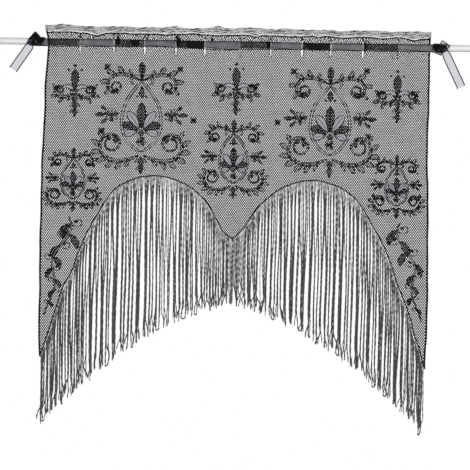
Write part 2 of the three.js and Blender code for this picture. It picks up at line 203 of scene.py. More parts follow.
def bell(distance, reach):
    """1 where distance is 0, and next to nothing at twice the reach"""
    return np.exp(-((distance / reach) ** 2))


def settled(drop, reach):
    """Grows from 0 towards 1 as drop passes reach"""
    return 1 - np.exp(-drop / reach)


def wave(x, size, length, start=0.0):
    """A ripple that rises and falls by size. From crest to crest it is 2 pi times length."""
    return size * np.sin(x / length + start)


def scatter(index, salt):
    """A number from 0 to 1 that looks random and is the same each time"""
    value = math.sin(index * 12.9898 + salt * 78.233) * 43758.5453
    return value - math.floor(value)


def unit(vectors):
    return vectors / np.maximum(np.linalg.norm(vectors, axis=-1, keepdims=True), 1e-9)


def direction(angle):
    return np.stack([np.cos(np.radians(angle)), np.sin(np.radians(angle))], -1)


def right_of(ahead):
    """The flat direction to the right of the one ahead"""
    return np.stack([ahead[..., 1], -ahead[..., 0]], -1)


def right_along(path):
    return right_of(unit(np.gradient(path, axis=0)))


def space(x, y, z):
    """Points in space. Each coordinate is an array, or one number for all of them."""
    return np.stack(np.broadcast_arrays(x, y, z), -1)


def raised(points):
    """Flat points of x and z as points in space"""
    return space(points[:, 0], 0.0, points[:, 1])


def marks_along(path, weight=1.0):
    """How far along the path each of its points lies, with each step counted by its weight"""
    return np.concatenate([[0], np.cumsum(np.linalg.norm(np.diff(path, axis=0), axis=1) * weight)])


def point_at(path, marks, distance):
    """The point of a flat path at a distance along it"""
    return np.stack([np.interp(distance, marks, path[:, k]) for k in (0, 1)], -1)


def bezier(controls, count):
    """Points along a cubic curve with four controls"""
    a, b, c, d = (np.array(control, float) for control in controls)
    t = np.linspace(0, 1, count)[:, None]
    return a * (1 - t) ** 3 + 3 * b * t * (1 - t) ** 2 + 3 * c * t * t * (1 - t) + d * t ** 3


def humps(x, table):
    return sum(size * bell(x - middle, reach) for middle, size, reach in table)


# The cloth's own lines and surface
def arch_points(arch, count=240):
    side = math.copysign(1, arch.top[0] - arch.foot[0])
    foot = np.array(arch.foot, float)
    top = np.array(arch.top, float)
    foot_control = foot + arch.foot_handle * direction(arch.slope) * np.array([side, 1])
    top_control = top - np.array([side * arch.top_handle, 0])
    points = bezier([foot, foot_control, top_control, top], count)
    return points if side > 0 else points[::-1]


def swollen(points):
    """The lower edge's points, moved out of the cloth by its swells"""
    return points + right_along(points) * humps(points[:, 0], EDGE_SWELLS)[:, None]


QUARTERS = [arch_points(arch) for arch in ARCHES]
EDGE = swollen(np.concatenate([QUARTERS[0]] + [quarter[1:] for quarter in QUARTERS[1:]]))
SEAMS = np.array([PANEL.left, *SLIT_GAPES, PANEL.right], float)


def lower_edge(x):
    return np.interp(x, EDGE[:, 0], EDGE[:, 1])


def top_edge(x):
    return HEADING.top + 0.5 + humps(x, TOP_RISES) + wave(x, 0.5, 9, 1)


def hem_edge(x):
    return HEADING.hem_bottom + 1.3 + wave(x, 0.6, 17, 2) + wave(x, 0.4, 7) - humps(x, HEM_DIPS)


def side_pull(x, z):
    """How far the cloth near its sides stands to the right of a straight-sided panel"""
    reach = np.where(z > SLIT.widest, PULL.reach_above, PULL.reach_below)
    left = PULL.at_rod * bell(z - SLIT.widest, reach)
    left = left - FLARE.left * smooth((-z - FLARE.left_from) / FLARE.left_over)
    left = left + TIP.left * smooth((ARCHES[0].foot[1] + TIP.height - z) / TIP.height)
    right = FLARE.right * smooth((-z - FLARE.right_from) / FLARE.right_over)
    right = right - WAIST.depth * bell(z - WAIST.z, WAIST.reach)
    right = right - TIP.right * smooth((ARCHES[3].foot[1] + TIP.height - z) / TIP.height)
    near_left = smooth(1 - (x - PANEL.left) / PULL.across)
    near_right = smooth(1 - (PANEL.right - x) / PULL.across)
    return left * near_left + right * near_right


def bulge(x, z, interval):
    """How far the cloth stands before or behind the rod's axis where it passes the rod"""
    middle = (SLIT.top + SLIT.bottom) / 2
    reach = (SLIT.top - SLIT.bottom) / 2
    at_slit = np.maximum(0, 1 - ((z - middle) / reach) ** 2) ** BULGE.slit_power
    midway = bell(np.maximum(0, np.abs(z) - BULGE.flat), np.where(z > 0, BULGE.up, BULGE.down))
    left = SEAMS[interval]
    right = SEAMS[interval + 1]
    across = 2 * (x - left) / (right - left) - 1
    share = np.cos(np.pi / 2 * np.clip(across, -1, 1)) ** BULGE.crown_power
    free = ((interval == 0) & (across < 0)) | ((interval == len(SEAMS) - 2) & (across > 0))
    share = np.where(free, 1, share)
    depth = np.where(interval % 2 == 0, -BULGE.front, BULGE.back)
    return depth * mix(at_slit, midway, share)


def panel_depth(x, z, interval=None):
    """The cloth's Y at x and z, in the interval that x lies in or in the one that is given"""
    x, z = np.broadcast_arrays(np.asarray(x, float), np.asarray(z, float))
    if interval is None:
        interval = np.clip(np.searchsorted(SEAMS, x) - 1, 0, len(SEAMS) - 2)
    grow = np.clip((HEADING.foot / 2 - z) / FOLD.growth, 0, 1)
    folds = grow * (wave(x, FOLD.wide, 53, 0.6) + wave(x, FOLD.narrow, 21, 2))
    return bulge(x, z, np.asarray(interval)) + folds


def gape(width, z):
    """A slit's width at z: open from above its foot up to the rod, and shut above the rod"""
    closing = smooth((z - ROD.radius) / (SLIT.tight - ROD.radius))
    below = np.clip((z - SLIT.bottom) / (SLIT.widest - SLIT.bottom), 0, 1)
    return width * np.where(z > SLIT.widest, mix(1, SLIT.shut, closing), below ** SLIT.foot_power)


# Mesh making
FRONT = np.array([0, -1, 0])


def near_front(right, up):
    """A direction a little off the front, for a tube whose path may itself run to the front"""
    return FRONT + np.array([right, 0, up])


class Batch:
    """Points and faces of many small shapes that become one mesh"""

    def __init__(self):
        self.points = []
        self.faces = []
        self.count = 0

    def add(self, points, quads, caps=()):
        self.points.append(points)
        self.faces += (quads + self.count).tolist()
        self.faces += [[corner + self.count for corner in cap] for cap in caps]
        self.count += len(points)

    def tube(self, path, half_width, half_depth, sides, up=FRONT):
        """A closed tube along path, half_width to each side and half_depth towards up and away from it"""
        count = len(path)
        ahead = unit(np.gradient(path, axis=0))
        across = unit(np.cross(np.broadcast_to(up, path.shape), ahead))
        over = np.cross(ahead, across)
        turn = np.arange(sides) * 2 * np.pi / sides
        wide = np.broadcast_to(half_width, count)[:, None, None] * np.cos(turn)[None, :, None]
        deep = np.broadcast_to(half_depth, count)[:, None, None] * np.sin(turn)[None, :, None]
        rings = path[:, None] + wide * across[:, None] + deep * over[:, None]
        start = np.arange(count - 1)[:, None] * sides
        here = np.arange(sides)
        after = (here + 1) % sides
        quads = np.stack([start + here, start + after, start + sides + after, start + sides + here], -1)
        caps = [list(range(sides))[::-1], [(count - 1) * sides + k for k in range(sides)]]
        self.add(rings.reshape(-1, 3), quads.reshape(-1, 4), caps)

    def grid(self, points):
        """A surface on a grid of points, with rows first and columns second"""
        rows, columns = points.shape[:2]
        corner = np.arange(rows * columns).reshape(rows, columns)
        quads = np.stack([corner[1:, :-1], corner[1:, 1:], corner[:-1, 1:], corner[:-1, :-1]], -1)
        self.add(points.reshape(-1, 3), quads.reshape(-1, 4))

    def drape(self):
        """Lays flat shapes on the cloth"""
        laid = np.concatenate(self.points)
        laid[:, 1] += panel_depth(laid[:, 0], laid[:, 2])
        laid[:, 0] += side_pull(laid[:, 0], laid[:, 2])
        self.points = [laid]

    def piece(self, name, material, slot):
        mesh = bpy.data.meshes.new(name)
        mesh.from_pydata((np.concatenate(self.points) * MM).tolist(), [], self.faces)
        mesh.polygons.foreach_set("use_smooth", [True] * len(mesh.polygons))
        mesh.materials.append(material)
        made = bpy.data.objects.new(name, mesh)
        bpy.context.scene.collection.objects.link(made)
        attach(made, "root")
        return made


def merge_close(piece):
    """Joins points that lie on each other"""
    weld = piece.modifiers.new("weld", "WELD")
    weld.merge_threshold = NET.weld * MM
    depsgraph = bpy.context.evaluated_depsgraph_get()
    mesh = bpy.data.meshes.new_from_object(piece.evaluated_get(depsgraph))
    piece.modifiers.clear()
    piece.data = mesh


# Materials
class Shader:
    """A material or a world under construction. An input is a plain value or another node's output."""

    def __init__(self, name, kind="materials"):
        self.made = getattr(bpy.data, kind).new(name)
        self.made.use_nodes = True
        self.tree = self.made.node_tree
        self.tree.nodes.clear()
        self.coordinates = self.add("TexCoord").outputs

    def add(self, kind, inputs=None, **settings):
        made = self.tree.nodes.new("ShaderNode" + kind)
        for key, value in settings.items():
            setattr(made, key, value)
        for socket, value in (inputs or {}).items():
            if isinstance(value, bpy.types.NodeSocket):
                self.tree.links.new(value, made.inputs[socket])
            else:
                made.inputs[socket].default_value = value
        return made

    def maths(self, operation, a, b=0.0):
        return self.add("Math", {0: a, 1: b}, operation=operation).outputs[0]

    def noise(self, scale, detail=2.0, stretch=(1, 1, 1)):
        place = self.add("Mapping", {"Vector": self.coordinates["Object"], "Scale": stretch}).outputs[0]
        return self.add("TexNoise", {"Vector": place, "Scale": scale, "Detail": detail}).outputs[0]

    def between(self, share, low, high, **settings):
        """A value from low to high as share goes from 0 to 1"""
        return self.add("MapRange", {"Value": share, "To Min": low, "To Max": high}, **settings).outputs[0]

    def blend(self, first, second, share):
        """Two values added up, with share of the second and the rest of the first"""
        rest = self.maths("MULTIPLY", first, 1 - share)
        return self.maths("ADD", rest, self.maths("MULTIPLY", second, share))

    def colour(self, share, dark, light):
        return self.add("Mix", {0: share, 6: (*dark, 1), 7: (*light, 1)}, data_type="RGBA").outputs[2]

    def finish(self, colour, roughness, height=None, depth=0.0, gloss=0.5, sheen=0.0, alpha=1.0):
        """Closes the material, with a bump that follows height, if there is one, to a depth in millimetres"""
        inputs = {
            "Base Color": colour,
            "Roughness": roughness,
            "Specular IOR Level": gloss,
            "Sheen Weight": sheen,
            "Alpha": alpha,
        }
        if height is not None:
            inputs["Normal"] = self.add("Bump", {"Height": height, "Distance": depth * MM}).outputs[0]
        surface = self.add("BsdfPrincipled", inputs)
        self.add("OutputMaterial", {"Surface": surface.outputs[0]})
        return self.made


def net_material(name, opening, cell_width=NET.cell_width, cell_height=NET.cell_height):
    """A net of round-cornered diamond holes. opening is the holes' share of their cells' width."""
    shader = Shader(name)
    x, _, z = shader.add("SeparateXYZ", {0: shader.coordinates["Object"]}).outputs
    strain = NET.strain * MM
    x = shader.maths("ADD", x, shader.between(shader.noise(9), -strain, strain))
    z = shader.maths("ADD", z, shader.between(shader.noise(7), -strain, strain))
    heading = {"Value": z, "From Min": HEADING.foot * MM / 2, "From Max": 0}
    gathered = shader.add("MapRange", heading).outputs[0]
    crumpled = shader.between(shader.noise(80), -NET.crumple * MM, NET.crumple * MM)
    z = shader.maths("ADD", z, shader.maths("MULTIPLY", crumpled, gathered))
    across = shader.maths("DIVIDE", x, cell_width * MM)
    along = shader.maths("DIVIDE", z, cell_height * MM)
    powers = []
    for operation in ("ADD", "SUBTRACT"):
        place = shader.maths("FRACT", shader.maths(operation, across, along))
        off = shader.maths("ABSOLUTE", shader.maths("SUBTRACT", place, 0.5))
        powers.append(shader.maths("POWER", shader.maths("MULTIPLY", off, 2.0), NET.squareness))
    reach = shader.maths("POWER", shader.maths("ADD", *powers), 1 / NET.squareness)
    size = shader.between(shader.noise(30), opening - 0.05, opening + 0.05)
    closed = shader.maths("GREATER_THAN", reach, size)
    fibres = shader.noise(2500, 3)
    thread = shader.maths("ADD", reach, shader.maths("MULTIPLY", fibres, 0.25))
    colour = shader.colour(fibres, (0.002, 0.002, 0.003), (0.013, 0.013, 0.014))
    return shader.finish(colour, 0.85, thread, 0.3, gloss=0.1, alpha=closed)


def thread_material(name, dark, light, fibre_scale=1800, gloss=0.1):
    """Matt thread with fine fibres"""
    shader = Shader(name)
    fibres = shader.noise(fibre_scale, 3)
    colour = shader.colour(shader.blend(fibres, shader.noise(60, 2), 0.4), dark, light)
    return shader.finish(colour, 0.9, fibres, 0.35, gloss, sheen=0.04)


def yarn_material(name, dark, light):
    """Fringe yarn: some strands are darker than others, and each changes slowly down its length"""
    shader = Shader(name)
    strands = shader.between(shader.noise(420, 1, (1, 1, 0.031)), -1.0, 1.9)
    fibres = shader.noise(1500, 3, (1, 1, 0.25))
    colour = shader.colour(shader.blend(strands, fibres, 0.15), dark, light)
    return shader.finish(colour, 0.9, fibres, 0.35, gloss=0.2, sheen=0.08)


def knot_material_painted_highlights(name, dark, light):
    """Ribbon pulled tight: black, with pale painted highlights on its creases, where the folds would catch
    the light
    """
    shader = Shader(name)
    # creases sets the bump and also where the pale painted highlight lies on the folds
    creases = shader.between(shader.noise(170, 3, (1, 1, 0.6)), -1.9, 1.7)
    relief = shader.maths("ADD", creases, shader.noise(900, 1))
    # The pale colour along the creases is a painted highlight, not the ribbon's own colour
    return shader.finish(shader.colour(creases, dark, light), 0.7, relief, 0.6, gloss=0.1)


def sheer_material(name, dark, light, low, high, scale=900):
    """A see-through weave whose cover goes from low to high"""
    shader = Shader(name)
    weave = shader.noise(scale, 1)
    cover = shader.between(shader.noise(40, 2, (1, 1, 0.4)), low, high)
    return shader.finish(shader.colour(weave, dark, light), 0.5, weave, 0.15, sheen=0.2, alpha=cover)


def paint_material(name, dark, light):
    """Satin paint with long faint scuffs and a fine orange peel"""
    shader = Shader(name)
    scuffs = shader.noise(60, 4, (0.15, 1, 1))
    roughness = shader.between(scuffs, 0.34, 0.44)
    return shader.finish(shader.colour(scuffs, dark, light), roughness, shader.noise(350, 2), 0.05)


def floor_material(name, dark, light):
    shader = Shader(name)
    return shader.finish(shader.colour(shader.noise(30, 3), dark, light), 0.7)


net_cloth = net_material("net_cloth", 0.595)
hem_cloth = net_material("hem_cloth", 0.87, 2.4, 3.0)
dense_stitch = net_material("dense_stitch", 0.27)
veil_stitch = net_material("veil_stitch", 0.48)
pleat_cloth = thread_material("pleat_cloth", (0.001, 0.001, 0.001), (0.009, 0.009, 0.01), 900, gloss=0.0)
ornament_thread = thread_material("ornament_thread", (0.002, 0.002, 0.003), (0.012, 0.012, 0.014))
edge_thread = thread_material("edge_thread", (0.002, 0.002, 0.003), (0.015, 0.015, 0.017))
silk_stitch = sheer_material("silk_stitch", (0.38, 0.37, 0.44), (0.54, 0.53, 0.61), 0.34, 0.5, 1400)
fringe_yarn = yarn_material("fringe_yarn", (0.06, 0.06, 0.062), (0.13, 0.13, 0.134))
organza = sheer_material("organza", (0.08, 0.07, 0.15), (0.15, 0.13, 0.25), 0.39, 0.46)
band_organza = sheer_material("band_organza", (0.05, 0.047, 0.062), (0.10, 0.096, 0.12), -0.25, 0.83)
doubled_organza = sheer_material("doubled_organza", (0.05, 0.047, 0.062), (0.10, 0.096, 0.12), 0.62, 0.72)
gathered_organza = thread_material("gathered_organza", (0.002, 0.002, 0.003), (0.012, 0.011, 0.016), 1500)
knotted_organza_painted_highlights = knot_material_painted_highlights("knotted_organza_painted_highlights", (0.001, 0.001, 0.002), (0.07, 0.066, 0.08))
rod_paint = paint_material("rod_paint", (0.74, 0.74, 0.73), (0.8, 0.8, 0.79))
pale_floor = floor_material("pale_floor", (0.86, 0.86, 0.85), (0.9, 0.9, 0.89))


# The net, slit by slit
def net_rows(x):
    """Heights of the net's rows at the columns x, from the hem down to the lower edge"""
    slit_levels = np.linspace(SLIT.top, SLIT.bottom, NET.slit_rows)
    foot_levels = np.linspace(SLIT.bottom, HEADING.foot, NET.foot_rows)[1:]
    rows = [hem_edge(x) - HEM.net_drop, mix(hem_edge(x), SLIT.top, 0.7)]
    rows += [np.full_like(x, z) for z in (*slit_levels, *foot_levels)]
    rows += [mix(HEADING.foot, lower_edge(x), share) for share in np.linspace(0, 1, NET.body_rows + 1)[1:]]
    return np.array(rows)


def net_interval(index):
    """The cloth between two seams, with its banks drawn back from the slits"""
    left, right = SEAMS[index], SEAMS[index + 1]
    steps = math.ceil((right - left) / NET.column_step)
    columns = np.linspace(left, right, steps + 1)
    if left < POINT_X < right:
        columns[np.argmin(np.abs(columns - POINT_X))] = POINT_X
    z = net_rows(columns)
    x = np.broadcast_to(columns, z.shape)
    in_slit = (z < SLIT.top - SLIT.end) & (z > SLIT.bottom + SLIT.end)
    shift = np.zeros_like(z)
    for seam, side in ((left, 1), (right, -1)):
        if seam in SLIT_GAPES:
            near = np.clip(1 - np.abs(x - seam) / SLIT.bank, 0, 1)
            shift = shift + side * near * in_slit * gape(SLIT_GAPES[seam], z) / 2
    return space(x + shift + side_pull(x, z), panel_depth(x, z, index), z)


def build_net():
    batch = Batch()
    for index in range(len(SEAMS) - 1):
        batch.grid(net_interval(index))
    net = batch.piece("net", net_cloth, "lace")
    merge_close(net)
    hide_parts("panel")
    return net


# The hem: the cloth's top turned over and crumpled, with a heavy stitch line under it
def hem_height(x, share):
    """The height at a share of the way from the hem's top down to its foot"""
    return mix(top_edge(x), hem_edge(x) + HEM.foot_rise, share)


def crumple(x, share, salt):
    """Creases from about -1 to 1 that wander along the hem, with finer ones across them"""
    wander = wave(x, 1.8, 23, salt) + wave(x, 0.9, 9.5, 2 * salt)
    fine = np.sin(x / 4.1 + 3 * share + salt) * np.sin(x / 6.7 - 5 * share)
    return 0.62 * np.sin(share * 11 + wander) + 0.3 * fine


def build_hem():
    left, right = PANEL.left - HEM.past_side, PANEL.right + HEM.past_side
    share = np.linspace(0, 1, HEM.rows)[:, None]
    x = np.arange(left, right + 1, HEM.column_step)[None, :]
    roll = np.sin(np.pi * np.clip(share + 0.04, 0, 1)) ** 0.5
    layers = Batch()
    for side, salt in ((-1, 0.3), (1, 2.1)):
        y = side * (0.35 + 0.7 * roll) + 0.55 * crumple(x, share, salt)
        layers.grid(space(x, y, hem_height(x, share) + 0.6 * crumple(x, 2 * share, salt + 1)))
    creases = Batch()
    x = np.arange(left, right, HEM.column_step)
    for share, salt in HEM_CREASES:
        sink = wave(x, 0.08, 21, salt) + wave(x, 0.05, 7, 2 * salt)
        z = hem_height(x, share + sink * min(1, 5 * share))
        thick = 0.25 + wave(x, 0.45, 11, salt * 5) + wave(x, 0.5, 4.3, salt)
        creases.tube(space(x, -1.4 + wave(x, 0.3, 8), z), np.maximum(0.15, thick), 0.3, 4)
    made = []
    for name, batch, cloth in (("hem", layers, hem_cloth), ("hem_creases", creases, edge_thread)):
        batch.drape()
        made.append(batch.piece(name, cloth, "lace"))
    return [*made, build_hem_stitches()]


def build_hem_stitches():
    """The heavy stitched line under the hem, and the short threads of the open row that ties it to the hem"""
    batch = Batch()
    width = PANEL.right - PANEL.left
    lift = np.sin(np.linspace(0, np.pi, 6))
    for k in range(int(width / STITCH.pitch)):
        start = PANEL.left + k * STITCH.pitch
        x = np.linspace(start - STITCH.overlap, start + STITCH.pitch, len(lift))
        z = hem_edge(x) - HEM.stitch_drop + STITCH.wander * (scatter(k, 5) - 0.5)
        bulk = mix(*STITCH.bulk, scatter(k, 12))
        for side in (-1, 1):
            path = space(x, side * (STITCH.low + STITCH.lift * lift), z)
            batch.tube(path, mix(STITCH.end, bulk, lift), STITCH.depth, 6)
    down = np.linspace(0, 1, 4)
    for k in range(int(width / TIE.pitch)):
        x = PANEL.left + (k + 0.5 + TIE.wander * scatter(k, 15)) * TIE.pitch
        z = mix(hem_edge(x) + HEM.foot_rise + 1, hem_edge(x) - HEM.stitch_drop, down)
        lean = TIE.lean * (scatter(k, 16) - 0.5)
        batch.tube(space(x + lean * down, 0, z), TIE.half_width, TIE.half_width, 4)
    batch.drape()
    return batch.piece("hem_stitches", edge_thread, "lace")


def build_pleats():
    """Narrow bunches of net pinched together beside the slits, each with three ridges"""
    batch = Batch()
    share = np.linspace(0, 1, 18)
    body = bell(share - 0.62, 0.3)
    for index, (middle, width, top, foot) in enumerate(PLEATS):
        for ridge in (-1, 0, 1):
            late = scatter(index, ridge + 3)
            x = middle + ridge * width / 3.2 + 0.7 * np.sin(share * 9 + 2 * ridge + index)
            z = mix(top - 9 * late * abs(ridge), foot - 2 * late, share)
            thick = 0.4 + width / 5 * body * (1 + 0.3 * np.sin(share * 23 + ridge))
            thick = thick * np.minimum(1, 8 * (1 - share) + 0.1)
            batch.tube(space(x, -1.2 - 0.4 * math.cos(ridge), z), thick, 0.9, 8)
    batch.drape()
    return batch.piece("net_pleats", pleat_cloth, "lace")


# Edges: a fine border cord whipped with thread
def whipped(batch, path, reach):
    """A cord along a flat path, with thread wound round it"""
    marks = marks_along(path)
    count = int(marks[-1] / WHIP.pitch) * WHIP.steps
    at = np.linspace(0, marks[-1], count + 1)
    line = point_at(path, marks, at)
    batch.tube(raised(line[::4]), reach * WHIP.core_width, WHIP.depth * WHIP.core_depth, WHIP.core_sides)
    turn = np.arange(count + 1) * 2 * np.pi / WHIP.steps
    uneven = 1 + wave(at, 0.22, 7.3) * wave(at, 1, 3.1)
    wound = raised(line + right_along(line) * (reach * uneven * np.cos(turn))[:, None])
    wound[:, 1] = -WHIP.depth * np.sin(turn)
    batch.tube(wound, WHIP.thread, WHIP.thread, WHIP.sides, near_front(0.001, 0.002))


def build_edges():
    batch = Batch()
    for side, arch in ((PANEL.left, ARCHES[0]), (PANEL.right, ARCHES[3])):
        z = np.linspace(HEADING.hem_bottom + BORDER.above_hem, arch.foot[1], BORDER.points)
        inward = math.copysign(BORDER.inset, -side)
        ripple = wave(z, 0.7, 37) + wave(z, 0.4, 15)
        whipped(batch, np.stack([side + inward + ripple * (z < 0), z], -1), WHIP.side_reach)
    whipped(batch, EDGE[::2], WHIP.arch_reach)
    z = np.linspace(SLIT.top, SLIT.bottom, BANK.points)
    thick = np.where(z > ROD.radius, BANK.above_rod, BANK.below_rod)
    for seam, width in SLIT_GAPES.items():
        for bank in (-1, 1):
            interval = int(np.searchsorted(SEAMS, seam + bank) - 1)
            x = seam + bank * (gape(width, z) / 2 + BANK.inset)
            y = panel_depth(seam, z, interval) - panel_depth(x, z)
            batch.tube(space(x, y, z), thick, thick, BANK.sides, (1, 0, 0))
    batch.drape()
    return batch.piece("edge_stitches", edge_thread, "lace")


# Ornament: cords and filled petals, drawn flat and laid on the net
def run(start, angle, length, turn=0, power=1.0, step=CORD.step):
    """Points of a line that sets out at angle and turns by turn degrees, later the higher power is"""
    count = max(5, round(length / step) + 1)
    heading = angle + turn * np.linspace(0, 1, count) ** power
    steps = direction((heading[1:] + heading[:-1]) / 2) * length / (count - 1)
    return np.array(start, float) + np.concatenate([[[0, 0]], np.cumsum(steps, axis=0)])


def pointed(fullest=0.55, blunt=0.8):
    """A shape's half widths, from 0 at both ends to 1 where it is fullest, at shares of its length"""
    power = math.log(0.5) / math.log(fullest)
    return lambda share: np.sin(np.pi * share ** power) ** blunt


def tapered(end=0.25):
    """Half widths that grow fast, then shrink to end at the tip"""
    return lambda share: np.minimum(1, share * 6) ** 0.5 * mix(1, end, share)


def even(share):
    """Half widths that are even between two round ends"""
    return np.minimum(1, 5 * np.sin(np.pi * share)) ** 0.5


class Pen:
    """Draws on the cloth about a centre, at a scale. What is off the middle line has a mirrored twin."""

    batches = {kind: Batch() for kind in ("cords", "dense", "veil", "silk")}

    def __init__(self, centre=(0, 0), scale=1.0):
        self.centre = np.array(centre, float)
        self.scale = scale

    def twins(self, points, both):
        for side in (1, -1) if both else (1,):
            yield self.centre + points * self.scale * np.array([side, 1])

    def cord(self, points, half_width=CORD.half_width, both=True):
        for placed in self.twins(points, both):
            self.batches["cords"].tube(raised(placed), half_width, CORD.half_depth, CORD.sides)

    def petal(self, path, width, shape=pointed(), fill="dense", both=True, vein=False, edge=CORD.half_width):
        """A filled shape along path, width wide at its fullest to each side, with a cord round it"""
        reach = width * shape(np.linspace(0, 1, len(path)))
        side = right_along(path) * reach[:, None]
        for placed in self.twins(path, both):
            self.batches[fill].tube(raised(placed), reach * self.scale, FILL.half_depth, FILL.sides)
        self.cord(np.concatenate([path + side, (path - side)[::-1][1:]]), edge * CORD.rim, both)
        if vein:
            self.cord(path[1:-2], edge * CORD.vein, both)

    def bead(self, centre, radius, both=True):
        path = run(np.array(centre) - [0, radius], 90, 2 * radius, step=radius / 3)
        self.petal(path, radius, pointed(0.5, 0.5), both=both)

    def off(self, path, share, lean):
        """The point at share of path's length, and the direction that leans off it there"""
        at = int(share * (len(path) - 1))
        ahead = path[at + 1] - path[at]
        return path[at], math.degrees(math.atan2(ahead[1], ahead[0])) + lean

    def leaflets(self, path, side, count, length, stop):
        """Leaves along one side of path, the longest in the middle"""
        for share in np.linspace(LEAFLET.start, stop, count):
            place = (share - LEAFLET.start) / (stop - LEAFLET.start)
            size = length * mix(LEAFLET.shortest, 1, math.sin(0.3 + 2.5 * place))
            leaf = run(*self.off(path, share, side * LEAFLET.lean), size, side * LEAFLET.curl, 1.4)
            self.petal(leaf, size * LEAFLET.width, fill="veil")

    def scroll(self, start, angle, length, turn, power, width, leaves, side, leaf, stop):
        """A stem that curls up at its end round a bead, with leaves on its outer side"""
        path = run(start, angle, length, turn, power)
        self.leaflets(path, side, leaves, leaf, stop)
        self.petal(path, width, tapered(), "veil")
        self.bead(path[-1], width * 1.15)
        return path


def palmette(pen, base, reach, spread=80, pairs=3):
    """A fan of petals, the middle one longest, over a small collar"""
    for step in range(pairs, -1, -1):
        share = step / pairs
        angle = 90 - spread * share
        start = np.array(base) + direction(angle) * reach * 0.12
        petal = run(start, angle, reach * mix(0.88, 0.46, share), -70 * share, 1.6)
        fill = "silk" if step % 2 else "dense"
        pen.petal(petal, reach * mix(0.14, 0.12, share), pointed(0.62), fill, both=step > 0, vein=True)
    pen.bead(base, reach * 0.09, both=False)


def rosette(pen, centre, radius, petals):
    for k in range(petals):
        angle = 360 * (k + 0.5) / petals + 90
        path = run(np.array(centre) + direction(angle) * radius * 0.3, angle, radius * 0.75)
        fill = "dense" if k % 2 else "silk"
        pen.petal(path, radius * 1.7 / petals, pointed(0.6, 0.6), fill, both=False)
    pen.bead(centre, radius * 0.24, both=False)


def fleur(pen, base, height):
    """A lily: a tall middle petal between two that curl down, tied by a band"""
    x, z = base
    wing = run((x + height * 0.06, z), 58, height * 1.05, -215, 1.25)
    pen.petal(wing, height * 0.1, tapered(0.3), "silk")
    pen.petal(run(base, 90, height), height * 0.17, pointed(0.6, 0.75), vein=True, both=False)
    band = run((x - height * 0.2, z), 0, height * 0.4)
    pen.petal(band, height * 0.06, pointed(0.5, 0.5), both=False)


def bellflowers(pen, base, length, count, shrink=0.86):
    """A string of buds that grow smaller downwards"""
    x, z = base
    for k in range(count):
        size = length * shrink ** k
        pen.petal(run((x + 0.5, z), -62, size * 0.85, 40), size * 0.13, fill="silk")
        pen.petal(run((x, z), -90, size), size * 0.27, pointed(0.4), both=False)
        z -= size * 0.86
    pen.bead((x, z - 3), 2.4, both=False)


def trefoil_flower(pen, centre, radius):
    """A rosette on each side of the middle line, with three leaves on its outer side"""
    x, z = centre
    for side in (1, -1):
        middle = np.array([side * x, z])
        rosette(pen, middle, radius, 7)
        for lean, size in ((-40, 1.1), (40, 1.1), (0, 1.5)):
            angle = lean if side > 0 else 180 - lean
            leaf = run(middle + direction(angle) * radius, angle, radius * size)
            pen.petal(leaf, radius * size * 0.2, both=False, vein=lean == 0)


def medallion(pen):
    """The large group: a palmette in a pointed frame, four scrolls, three rosettes, a lily and bellflowers"""
    lower = pen.scroll(
        (6, -100), angle=-24, length=285, turn=540, power=1.9, width=5, leaves=7, side=-1, leaf=33, stop=0.5)
    upper = pen.scroll(
        (6, 98), angle=24, length=210, turn=-570, power=2.2, width=4.5, leaves=5, side=1, leaf=29, stop=0.52)
    for stem, share, side, size in ((lower, 0.62, 1, 26), (upper, 0.6, -1, 20)):
        pen.petal(run(*pen.off(stem, share, side * 30), size, side * 60, 1.2), size * 0.2)
    pen.petal(bezier([(0, -90), (74, -62), (64, 40), (0, 92)], 62), 2.8, even, "silk")
    palmette(pen, (0, -42), 80)
    rosette(pen, (0, -63), 12.5, 6)
    pen.petal(run((0, 50), 90, 30), 6.5, pointed(0.4, 1.0), both=False)
    pen.bead((12, 54), 2.4)
    trefoil_flower(pen, (78, 6), 17)
    fleur(pen, (0, 98), 46)
    bellflowers(pen, (0, -104), 24, 2)


def spray(pen):
    """The small group: a lily over a string of buds, with two scrolls"""
    fleur(pen, (0, 4), 56)
    pen.scroll(
        (3, -2), angle=-34, length=128, turn=560, power=2.0, width=3.6, leaves=4, side=-1, leaf=20, stop=0.5)
    bellflowers(pen, (0, -4), 24, 3)
    pen.bead((0, 68), 3, both=False)
    pen.bead((17, 56), 2.4)


def floret(pen):
    """Four petals on the open net"""
    for k in range(4):
        pen.petal(run((0, 0), 90 * k + 45, 10), 2.8, both=False, edge=0.9)
    pen.bead((0, 0), 2, both=False)


def vine(side_x, top, bottom, swing_sign):
    """A stem that winds down a pointed side of the panel, with leaves as long as the cloth there allows"""
    pen = Pen()
    leg = QUARTERS[0] if side_x < 0 else QUARTERS[3]
    order = np.argsort(leg[:, 1])
    z = np.arange(top, bottom, -CORD.step)
    inner = np.interp(z, leg[order, 1], leg[order, 0])
    room = np.abs(inner - side_x)
    swing = wave(top - z, swing_sign * VINE.swing * room, VINE.winding)
    stem = np.stack([(inner + side_x) / 2 + swing, z], -1)
    pen.petal(stem, 2.2, tapered(0.4), "silk", both=False)
    for k, at in enumerate(range(VINE.first_leaf, len(stem) - 4, VINE.leaf_step)):
        side = 1 if k % 2 else -1
        reach = min(VINE.longest, room[at] * VINE.share)
        if reach < VINE.shortest:
            break
        leaf = run(stem[at], -90 + side * 58, reach, -side * 70, 1.2)
        pen.petal(leaf, reach * 0.19, both=False, vein=reach > 20)
        curl = run(stem[at], -90 - side * 42, reach * 1.25, -side * 300, 1.6)
        pen.cord(curl, 0.9, both=False)
        pen.bead(curl[-1], max(1.6, reach * 0.07), both=False)


